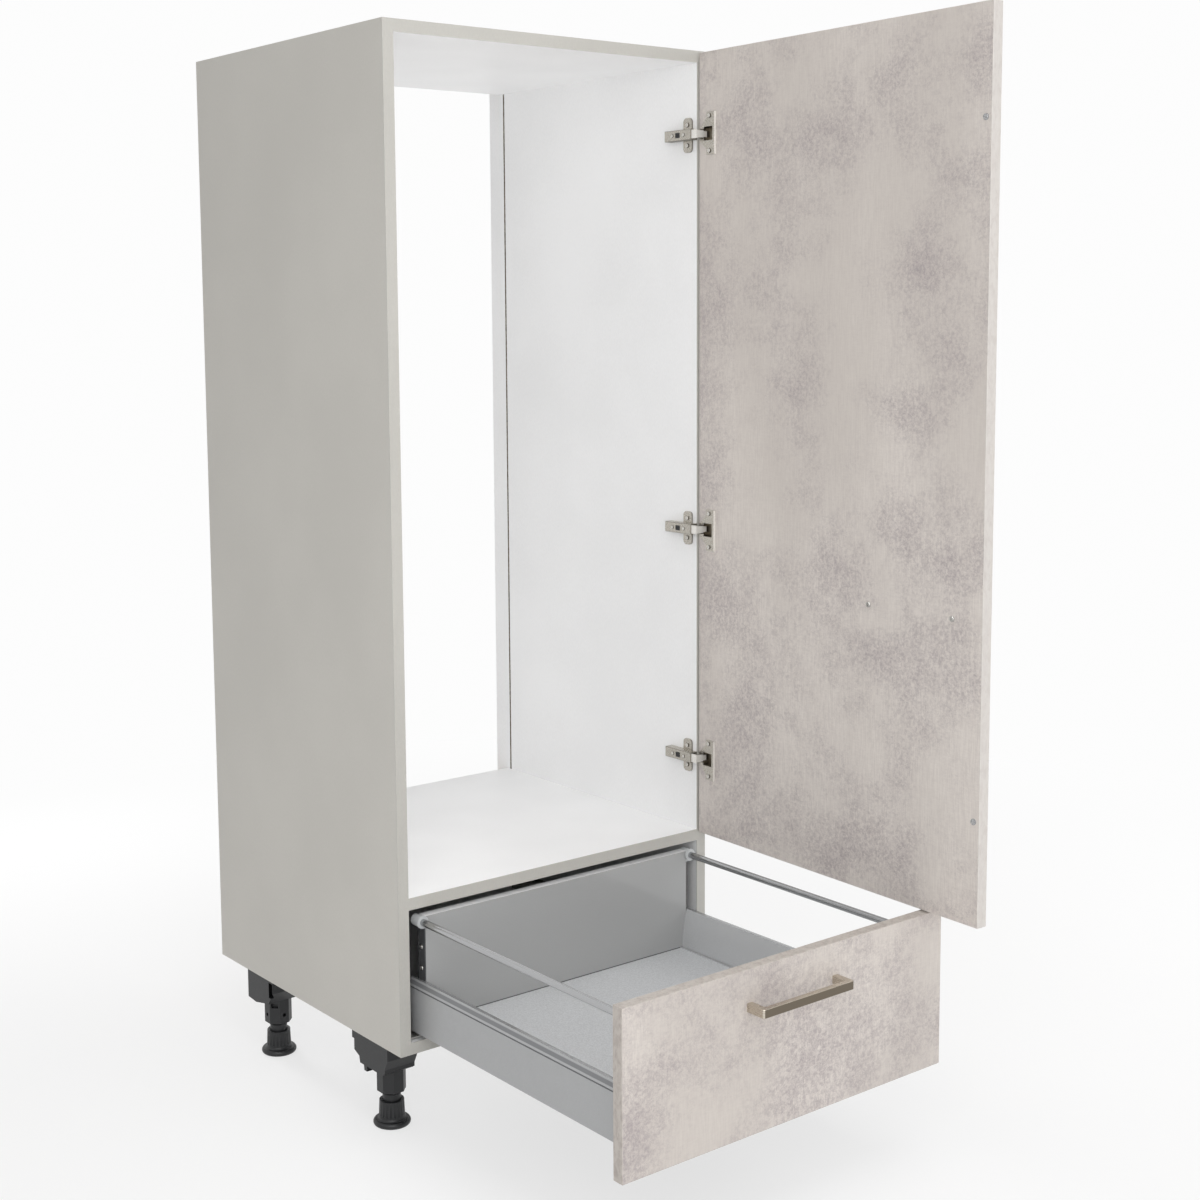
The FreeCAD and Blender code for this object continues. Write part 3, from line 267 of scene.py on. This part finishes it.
def concrete_decor():
    """Printed concrete: warm beige with fine threads, and mauve clouds with granular edges."""
    s = Shader("concrete_decor")
    zones = s.ramp(s.noise(3.5, 3.0, 0.5, 0.0, s.stretched((1.0, 1.0, 0.35))), 0.35, 0.65)
    clouds = s.noise(5.5, 9.0, 0.66, 0.0, s.stretched((1.0, 1.0, 1.1), DECOR_OFFSET))
    grit = s.noise(170.0, 6.0, 0.9, 0.3)
    dabs = s.noise(45.0, 4.0, 0.7, 0.8)
    loose = s.math("ADD", s.math("MULTIPLY", grit, 0.34), s.math("MULTIPLY", dabs, 0.22))
    cores = s.ramp(s.math("ADD", clouds, loose), 0.72, 1.05, 0.0, 0.36)
    specks = s.math("MULTIPLY", s.ramp(clouds, 0.36, 0.62), s.ramp(grit, 0.42, 0.60, 0.0, 0.5))
    stain = s.math("ADD", cores, specks)
    threads = s.noise(420.0, 3.0, 0.7, 0.0, s.stretched((1.0, 1.0, 0.08)))
    weave = s.noise(420.0, 3.0, 0.7, 0.0, s.stretched((0.2, 0.2, 1.0)))
    lines = s.ramp(s.math("ADD", threads, s.math("MULTIPLY", weave, 0.5)), 0.5, 1.0)
    ground = s.mix(zones, colour(DECOR_WARM), colour(DECOR_PALE))
    ground = s.mix(s.math("MULTIPLY", lines, 0.5), ground, colour(DECOR_STREAK))
    s.set(Base_Color=s.mix(stain, ground, colour(DECOR_MAUVE)))
    grain = s.noise(1100.0, 2.0)
    s.set(Roughness=s.ramp(grain, 0.3, 0.7, 0.5, 0.62))
    s.bump(s.math("ADD", s.math("MULTIPLY", grit, 0.3), grain), 0.15, 0.0002)
    return s.material


def concrete_edge(name, tone, spot, share):
    """Edge band of the fronts, mottled along its length."""
    s = Shader(name)
    spots = s.ramp(s.noise(140.0, 5.0, 0.7, 0.6, s.stretched((1.0, 1.0, 0.5))), 0.4, 0.68, 0.0, share)
    s.set(Base_Color=s.mix(spots, colour(tone), colour(spot)))
    s.set(Roughness=0.5)
    s.bump(s.noise(700.0, 2.0), 0.15, 0.0002)
    return s.material


def fibre_board():
    """Bare rear face of the thin back sheet."""
    s = Shader("bare_hardboard")
    fibres = s.noise(300.0, 4.0, 0.6, 0.6)
    base = colour(HARDBOARD_BROWN)
    s.set(Base_Color=s.mix(fibres, darkened(base, 0.7), base))
    s.set(Roughness=0.8)
    s.bump(fibres, 0.4, 0.0004)
    return s.material


def beech_wood():
    """Turned beech with long rings."""
    s = Shader("beech_dowel")
    rings = s.noise(40.0, 4.0, 0.6, 1.0, s.stretched((0.15, 1.0, 1.0)))
    base = colour(BEECH)
    s.set(Base_Color=s.mix(rings, darkened(base, 0.75), base))
    s.set(Roughness=0.65)
    s.bump(rings, 0.3, 0.0003)
    return s.material


def powder_coat(name, tone, roughness=0.34, metallic=0.3, band=None):
    """Silver grey coat with fine flakes, and a darker band between two heights that is a painted
    reflection.
    """
    s = Shader(name)
    flakes = s.add("ShaderNodeTexVoronoi", Vector=s.place, Scale=2600.0)
    tint = s.add("ShaderNodeSeparateColor", Color=flakes.outputs["Color"]).outputs["Red"]
    base = colour(tone)
    darker = darkened(base, 0.82)
    coat = s.mix(tint, darker, base)
    if band:
        above = s.ramp(s.height(), band[0] - BAND_SOFTNESS, band[0] + BAND_SOFTNESS)
        below = s.ramp(s.height(), band[1] - BAND_SOFTNESS, band[1] + BAND_SOFTNESS, 1.0, 0.0)
        coat = s.mix(s.math("MULTIPLY", above, below), coat, colour(SILVER_REFLECTION_BAND))
    s.set(Base_Color=coat, Metallic=metallic)
    s.set(Roughness=s.ramp(s.noise(60.0), 0.3, 0.7, roughness - 0.06, roughness + 0.06))
    s.bump(s.noise(1500.0, 2.0), 0.12, 0.0002)
    return s.material


def speckled_board(name, tone, contrast, roughness, shaded_below=None):
    """Grey coated board of the drawer, with a fine print of specks, and shaded below a height."""
    s = Shader(name)
    specks = s.noise(480.0, 4.0, 0.8)
    base = colour(tone)
    darker = darkened(base, contrast)
    tint = s.mix(s.ramp(specks, 0.38, 0.62), darker, base)
    if shaded_below:
        shade = s.ramp(s.height(), shaded_below - SHADE_SOFTNESS, shaded_below + SHADE_SOFTNESS, 1.0, 0.0)
        tint = s.mix(shade, tint, colour(DRAWER_SHADE))
    s.set(Base_Color=tint)
    s.set(Roughness=s.ramp(specks, 0.3, 0.7, roughness - 0.04, roughness + 0.06))
    s.bump(specks, 0.04, 0.0002)
    return s.material


def plated_metal(name, tone, roughness, stretch, contrast=0.94, spread=0.05, metallic=1.0):
    """Plated or brushed metal, with fine lines along the stretched axis."""
    s = Shader(name)
    lines = s.noise(1400.0, 3.0, 0.6, 0.0, s.stretched(stretch))
    base = colour(tone)
    darker = darkened(base, contrast)
    s.set(Base_Color=s.mix(s.ramp(lines, 0.3, 0.7), darker, base), Metallic=metallic)
    s.set(Roughness=s.ramp(lines, 0.3, 0.7, roughness - spread, roughness + spread))
    s.bump(lines, 0.05, 0.0001)
    return s.material


def moulded_plastic(name, tone, roughness):
    """Moulded plastic with a fine spark-eroded grain."""
    s = Shader(name)
    grain = s.noise(1300.0, 3.0, 0.6)
    base = colour(tone)
    darker = darkened(base, 0.85)
    s.set(Base_Color=s.mix(s.ramp(s.noise(30.0), 0.35, 0.65), darker, base))
    s.set(Roughness=s.ramp(grain, 0.3, 0.7, roughness - 0.06, roughness + 0.08))
    s.bump(grain, 0.25, 0.0002)
    return s.material


def clear_plastic():
    """Clear soft plastic with a slight haze."""
    s = Shader("clear_bumper")
    haze = s.noise(600.0, 2.0)
    s.set(Base_Color=colour(CLEAR_PLASTIC), Transmission_Weight=0.75, IOR=1.46)
    s.set(Roughness=s.ramp(haze, 0.3, 0.7, 0.12, 0.28))
    return s.material


SIDE_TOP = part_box("drawer_side_left")[1].z
DRAWER_FLOOR_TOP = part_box("drawer_bottom")[1].z

WHITE = coated_board("white_board", WHITE_BOARD, 0.45)
GREY = coated_board("grey_board", GREY_BOARD, 0.5)
BAND = coated_board("grey_edge_band", GREY_BAND, 0.42)
RAW = chipboard()
DECOR = concrete_decor()
DECOR_BAND = concrete_edge("decor_edge_band", DECOR_EDGE, DECOR_STREAK, 0.4)
DECOR_SIDE = concrete_edge("decor_side_band", DECOR_EDGE_DARK, DECOR_EDGE_SPOT, 0.8)
FIBRE = fibre_board()
WOOD = beech_wood()
COAT = powder_coat("silver_coat", SILVER_COAT)
# Copies of the silver coat that carry painted sheen, light, reflection and shade on the drawer sides
COAT_SHOULDER_SHEEN = powder_coat("silver_shoulder_sheen", SILVER_SHOULDER_SHEEN,
                         band=(SIDE_TOP - SIDE_REFLECTION_BAND[1], SIDE_TOP - SIDE_REFLECTION_BAND[0]))
COAT_INNER_LIT = powder_coat("silver_inner_lit", SILVER_INNER_LIT)
COAT_TOP_REFLECTION = powder_coat("silver_top_reflection", SILVER_TOP_REFLECTION, 0.2, 0.6)
COAT_GROOVE_SHADE = powder_coat("silver_groove_shade", SILVER_GROOVE_SHADE)
GALVANISED = powder_coat("galvanised_steel", ZINC, 0.38, 0.8)
BOARD_GREY = speckled_board("drawer_board", DRAWER_GREY, 0.97, 0.06, DRAWER_FLOOR_TOP + FLOOR_GAP)
# The drawer boards' edges carry a painted highlight
BOARD_EDGE_HIGHLIGHT = speckled_board("drawer_board_edge_highlight", DRAWER_EDGE_HIGHLIGHT, 0.96, 0.4)
FLOOR_GREY = speckled_board("drawer_floor", DRAWER_FLOOR, 0.78, 0.46)
RAIL = plated_metal("rail_silver", RAIL_SILVER, 0.16, (1.0, 0.02, 1.0))
HANDLE = plated_metal("satin_nickel", NICKEL_SATIN, 0.26, (0.03, 0.03, 1.0))
# The handles' front faces take a darker nickel as painted shade
HANDLE_SHADED_FACE = plated_metal("shaded_face_nickel", NICKEL_SHADED_FACE, 0.34, (0.03, 0.03, 1.0))
NICKEL = plated_metal("hinge_nickel", NICKEL_BRIGHT, 0.26, (1.0, 0.5, 1.0), 0.8, metallic=0.8)
# A lit copy of the hinge nickel: painted light and painted highlight
NICKEL_HIGHLIGHT = plated_metal("hinge_link", NICKEL_HIGHLIGHT_TONE, 0.3, (1.0, 1.0, 1.0), metallic=0.15)
# The hinges' lower and front edges take a darker nickel as painted shade
HINGE_EDGE_SHADE = plated_metal("hinge_edge_shade", NICKEL_SHADED_EDGE, 0.36, (1.0, 1.0, 1.0), metallic=0.8)
NICKEL_DARK = plated_metal("hinge_shade", NICKEL_SHADE, 0.4, (1.0, 1.0, 1.0))
# The cups' bowls take a darker nickel as painted shade
CUP_BOWL_SHADE = plated_metal("hinge_bowl_shade", NICKEL_BOWL_SHADE, 0.4, (1.0, 1.0, 1.0))
SCREW = plated_metal("zinc_screw", ZINC, 0.25, (1.0, 1.0, 1.0))
PALE = moulded_plastic("light_plastic", LIGHT_PLASTIC, 0.4)
DARK = moulded_plastic("dark_plastic", DARK_PLASTIC, 0.45)
BLACK = moulded_plastic("black_plastic", BLACK_PLASTIC, 0.42)
CLEAR = clear_plastic()


# Painting the nodes
def paint(name, *materials):
    """Gives a node these materials, the first one on every face."""
    mesh = NODES[name].data
    mesh.materials.clear()
    for made in materials:
        mesh.materials.append(made)
    mesh.polygons.foreach_set("material_index", [0] * len(mesh.polygons))
    return mesh


def paint_board(name, raw, low, high):
    """A board's two broad faces get low and high, by their place along the thickness, and the rest raw."""
    mesh = paint(name, raw, low, high)
    normal = max(mesh.polygons, key=lambda p: p.area).normal.copy()
    if sum(normal) < 0:
        normal.negate()
    places = [normal @ v.co for v in mesh.vertices]
    for polygon in mesh.polygons:
        facing = polygon.normal @ normal
        place = normal @ polygon.center
        if facing < -FLAT and place < min(places) + FLUSH:
            polygon.material_index = 1
        if facing > FLAT and place > max(places) - FLUSH:
            polygon.material_index = 2


def paint_drawer_side(name, inward):
    """A drawer side, with painted shade in its groove, a painted sheen and a band of painted dark
    reflection on its shoulder, a painted reflection on its flat top, and painted light on its inner wall.
    """
    mesh = paint(name, COAT, COAT_GROOVE_SHADE, COAT_SHOULDER_SHEEN, COAT_TOP_REFLECTION, COAT_INNER_LIT)
    top = max(v.co.z for v in mesh.vertices)
    for polygon in mesh.polygons:
        drop = top - polygon.center.z
        if inward * polygon.normal.x > SIDEWAYS:
            polygon.material_index = 4
        elif SIDE_GROOVE[0] < drop < SIDE_GROOVE[1]:
            polygon.material_index = 1
        elif polygon.normal.z > NEARLY_FLAT and drop < SIDE_TOP_EDGE:
            polygon.material_index = 3
        elif polygon.normal.z > SLOPED and drop < SIDE_GROOVE[0]:
            polygon.material_index = 2


def paint_handle(name, outward):
    """A bow handle: its long front face gets a darker nickel as painted shade, the rest satin."""
    mesh = paint(name, HANDLE, HANDLE_SHADED_FACE)
    for polygon in mesh.polygons:
        if polygon.normal @ outward > NEARLY_FLAT:
            polygon.material_index = 1


def paint_pressing(name, face, edge):
    """A pressed hinge part: the lighter tone on its broad faces and, as painted light from above, on its
    upper faces; the darker tone, painted shade, on its other edges and recesses.
    """
    mesh = paint(name, edge, face)
    for polygon in mesh.polygons:
        if max(abs(polygon.normal.x), polygon.normal.z) > NEARLY_FLAT:
            polygon.material_index = 1


def paint_cup(name, inward):
    """A hinge cup: plated flange with a painted highlight on its front edge, and painted shade in the bowl
    below it.
    """
    mesh = paint(name, NICKEL, CUP_BOWL_SHADE, NICKEL_HIGHLIGHT)
    rim = max(inward @ v.co for v in mesh.vertices) - CUP_RIM
    for polygon in mesh.polygons:
        if inward @ polygon.center < rim:
            polygon.material_index = 1
        elif polygon.normal.y < -FACING:
            polygon.material_index = 2


def add_insert(place):
    """The dark insert in the window of a hinge arm: a cap with round corners and a sunk middle."""
    low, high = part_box("hinge_arm_" + place)
    at = Vector((low.x - INSERT_STANDS + INSERT_SIZE[0] / 2, low.y + INSERT_SETBACK, (low.z + high.z) / 2))
    shape = bmesh.new()
    bmesh.ops.create_cube(shape, size=1.0)
    bmesh.ops.scale(shape, vec=INSERT_SIZE, verts=shape.verts)
    across = [e for e in shape.edges if abs(e.verts[0].co.x - e.verts[1].co.x) > INSERT_SIZE[0] / 2]
    bmesh.ops.bevel(shape, geom=across, offset=INSERT_CORNER, segments=4, profile=0.5, affect="EDGES")
    outer = min(shape.faces, key=lambda f: f.calc_center_median().x)
    bmesh.ops.inset_region(shape, faces=[outer], thickness=INSERT_RIM, depth=0.0)
    bmesh.ops.inset_region(shape, faces=[outer], thickness=INSERT_SUNK, depth=-INSERT_SUNK)
    bmesh.ops.translate(shape, vec=at, verts=shape.verts)
    mesh = bpy.data.meshes.new("hinge_insert_" + place)
    shape.to_mesh(mesh)
    shape.free()
    mesh.materials.append(BLACK)
    insert = bpy.data.objects.new(mesh.name, mesh)
    bpy.context.scene.collection.objects.link(insert)
    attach(insert, "carcass")


HINGES = ("top", "middle", "bottom")
LEGS = ("front_left", "front_right", "rear_left", "rear_right")
HANDS = ("left", "right")

# The open door's inner face looks to the left
door_inward = max(NODES["door_panel"].data.polygons, key=lambda p: p.area).normal.copy()
if door_inward.x > 0:
    door_inward.negate()

paint_board("side_panel_left", RAW, GREY, WHITE)
paint_board("side_panel_right", RAW, WHITE, GREY)
paint_board("base_panel", RAW, WHITE, WHITE)
paint_board("fridge_shelf", RAW, WHITE, WHITE)
paint_board("top_panel", RAW, WHITE, GREY)
paint_board("drawer_bay_back", FIBRE, WHITE, FIBRE)
paint_board("door_panel", DECOR_BAND, DECOR, DECOR)
paint_board("drawer_front", DECOR_SIDE, DECOR, DECOR)
paint_board("drawer_back", BOARD_EDGE_HIGHLIGHT, BOARD_GREY, BOARD_GREY)
paint_board("drawer_bottom", BOARD_EDGE_HIGHLIGHT, BOARD_GREY, FLOOR_GREY)
paint("carcass_edge_bands", BAND)
paint("wood_dowels", WOOD)
paint("rail_holders", PALE)
paint("front_brackets", DARK)
paint("back_brackets", DARK)
paint("door_bumpers", CLEAR)
paint_handle("drawer_handle", Vector((0.0, -1.0, 0.0)))
paint_handle("door_handle", -door_inward)
for place in HINGES:
    paint_pressing("hinge_plate_" + place, NICKEL, HINGE_EDGE_SHADE)
    paint_pressing("hinge_arm_" + place, NICKEL, HINGE_EDGE_SHADE)
    # The links take painted light
    paint("hinge_link_" + place, NICKEL_HIGHLIGHT)
    paint_cup("hinge_cup_" + place, door_inward)
    add_insert(place)
for place in LEGS:
    for piece in ("socket", "tube", "foot"):
        paint("leg_" + piece + "_" + place, BLACK)
for hand, inward in zip(HANDS, (1.0, -1.0)):
    paint_drawer_side("drawer_side_" + hand, inward)
    paint("gallery_rail_" + hand, RAIL)
    paint("runner_rail_" + hand, GALVANISED)
    paint("runner_mid_" + hand, GALVANISED)
paint("hinge_pins", SCREW)
paint("cam_fittings", SCREW)
for name in NODES:
    if name.startswith("hinge") and name.endswith("screws"):
        # Hinge screws: painted highlight on their heads, painted shade on their edges and recesses
        paint_pressing(name, NICKEL_HIGHLIGHT, NICKEL_DARK)
    elif name.endswith("screws"):
        paint(name, SCREW)


# Stage, light and camera
def make_floor():
    """A pale floor under the unit that fades into the white background."""
    mesh = bpy.data.meshes.new("floor")
    half = FLOOR_SIZE / 2
    corners = [(-half, -half, 0), (half, -half, 0), (half, half, 0), (-half, half, 0)]
    mesh.from_pydata(corners, [], [(0, 1, 2, 3)])
    floor = bpy.data.objects.new("floor", mesh)
    bpy.context.scene.collection.objects.link(floor)
    s = Shader("pale_floor")
    s.set(Base_Color=FLOOR_TONE, Roughness=FLOOR_ROUGHNESS)
    glow = s.add("ShaderNodeEmission", Color=PLAIN_WHITE, Strength=BACKGROUND)
    distance = s.add("ShaderNodeVectorMath", {"operation": "LENGTH"})
    s.plug(distance.inputs[0], s.place)
    far = s.ramp(distance.outputs["Value"], FLOOR_FADE_START, FLOOR_FADE_END, FLOOR_LIFT, 1.0)
    rays = s.add("ShaderNodeLightPath").outputs
    camera_ray, glossy_ray, transmission_ray = (rays[name] for name in SEEN_RAYS)
    seen = s.math("MAXIMUM", s.math("MAXIMUM", camera_ray, glossy_ray), transmission_ray)
    blend = s.add("ShaderNodeMixShader", Fac=s.math("MULTIPLY", far, seen))
    s.plug(blend.inputs[1], s.surface.outputs["BSDF"])
    s.plug(blend.inputs[2], glow.outputs["Emission"])
    s.plug(s.tree.nodes["Material Output"].inputs["Surface"], blend.outputs["Shader"])
    mesh.materials.append(s.material)


def make_world():
    """Even light on the object, white where it is seen, mirrored or looked through."""
    world = bpy.data.worlds.new("studio")
    bpy.context.scene.world = world
    world.use_nodes = True
    tree = world.node_tree
    rays = tree.nodes.new("ShaderNodeLightPath").outputs
    strength = None
    for name in SEEN_RAYS:
        level = tree.nodes.new("ShaderNodeMapRange")
        level.inputs["To Min"].default_value = AMBIENT
        level.inputs["To Max"].default_value = BACKGROUND
        tree.links.new(rays[name], level.inputs["Value"])
        if strength:
            tree.links.new(strength, level.inputs["To Min"])
        strength = level.outputs["Result"]
    sky = tree.nodes["Background"]
    tree.links.new(strength, sky.inputs["Strength"])
    sky.inputs["Color"].default_value = PLAIN_WHITE


def area_light(name, at, target, size, power, mirrored):
    """A lamp aimed at a target; one that is not mirrored leaves no highlight."""
    data = bpy.data.lights.new(name, "AREA")
    data.shape = "RECTANGLE"
    data.size, data.size_y = size
    data.energy = power
    lamp = bpy.data.objects.new(name, data)
    lamp.location = at
    lamp.visible_glossy = mirrored
    lamp.rotation_euler = (Vector(target) - Vector(at)).to_track_quat("-Z", "Y").to_euler()
    bpy.context.scene.collection.objects.link(lamp)


def make_camera():
    """The camera at the measured place, turned by yaw, pitch and roll."""
    yaw, pitch, roll = (math.radians(a) for a in (CAMERA_YAW, CAMERA_PITCH, CAMERA_ROLL))
    ahead = Vector((math.sin(yaw) * math.cos(pitch), math.cos(yaw) * math.cos(pitch), math.sin(pitch)))
    right = Vector((math.cos(yaw), -math.sin(yaw), 0.0))
    up = right.cross(ahead)
    turned_right = math.cos(roll) * right + math.sin(roll) * up
    turned_up = math.cos(roll) * up - math.sin(roll) * right
    data = bpy.data.cameras.new("camera")
    data.lens = CAMERA_LENS
    data.sensor_width = CAMERA_SENSOR
    data.shift_x, data.shift_y = CAMERA_SHIFT
    camera = bpy.data.objects.new("camera", data)
    turn = Matrix((turned_right, turned_up, -ahead)).transposed()
    camera.matrix_world = Matrix.Translation(CAMERA_AT) @ turn.to_4x4()
    bpy.context.scene.collection.objects.link(camera)
    bpy.context.scene.camera = camera


make_floor()
make_world()
for lamp in LAMPS:
    area_light(*lamp)
make_camera()
bpy.context.scene.view_settings.view_transform = "Standard"
